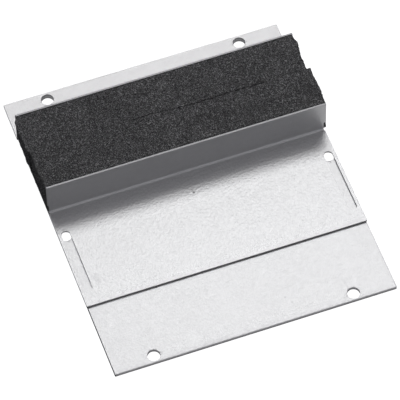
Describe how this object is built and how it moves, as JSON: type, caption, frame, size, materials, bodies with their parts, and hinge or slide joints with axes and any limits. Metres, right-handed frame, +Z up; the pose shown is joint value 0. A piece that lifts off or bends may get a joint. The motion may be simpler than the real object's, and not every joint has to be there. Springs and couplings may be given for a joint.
{
  "type": "cable entry flange",
  "caption": "Flat galvanised steel flange with a sliding lipped plate that squeezes foam strips around cables entering an enclosure.",
  "frame": {"origin": "centre of the bounding box, on the underside of the base plate", "axes": "+X along the lips and the foam, to the right seen from the front edge; +Y from the front edge to the rear edge, the way the slider closes; +Z up, out of the base plate"},
  "size_m": [0.1598, 0.182, 0.0251],
  "materials": {
    "galvanised_base": "zinc coated sheet, faint rolling streaks, dull bright",
    "galvanised_angle": "zinc coated sheet, dull bright",
    "galvanised_slider": "zinc coated sheet with a fine mottle, dull bright",
    "foam_front": "charcoal open-cell foam, rough cut ends",
    "foam_rear": "charcoal open-cell foam, rough cut ends"
  },
  "bodies": {
    "base": {"base_plate": "galvanised_base", "rear_angle": "galvanised_angle", "foam_rear": "foam_rear"},
    "slider": {"slider_plate": "galvanised_slider", "foam_front": "foam_front"}
  },
  "joints": [
    {"name": "slider_slide", "type": "slide", "parent": "base", "child": "slider", "axis": [0, 1, 0], "range_m": [0, 0.036], "deforming": ["foam_front", "foam_rear"]}
  ]
}
